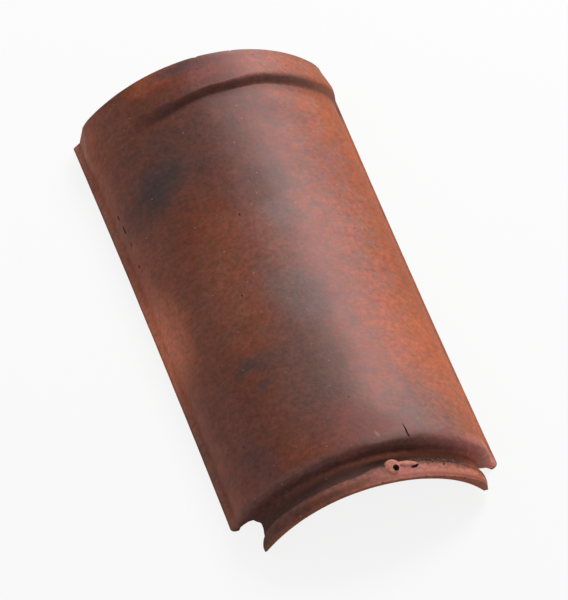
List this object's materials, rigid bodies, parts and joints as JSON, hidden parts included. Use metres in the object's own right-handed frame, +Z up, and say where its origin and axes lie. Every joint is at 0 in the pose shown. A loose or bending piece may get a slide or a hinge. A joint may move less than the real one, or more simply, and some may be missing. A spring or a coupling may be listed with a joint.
{
  "type": "clay ridge tile",
  "caption": "Half-round interlocking clay ridge tile with a raised collar at one end, and a grooved spigot with a nail hole at the other.",
  "frame": {"origin": "on the ground under the middle of the tile's length and width, as it rests on its two long edges", "axes": "+Y along the tile from the spigot to the collar, +Z up through the crown, +X across the tile to the right when looking along +Y"},
  "size_m": [0.2224, 0.458, 0.0768],
  "materials": {
    "fired_clay": "matt, flamed from dark red-brown through mauve-grey to orange"
  },
  "bodies": {
    "root": {"ridge_tile": "fired_clay"}
  },
  "joints": []
}
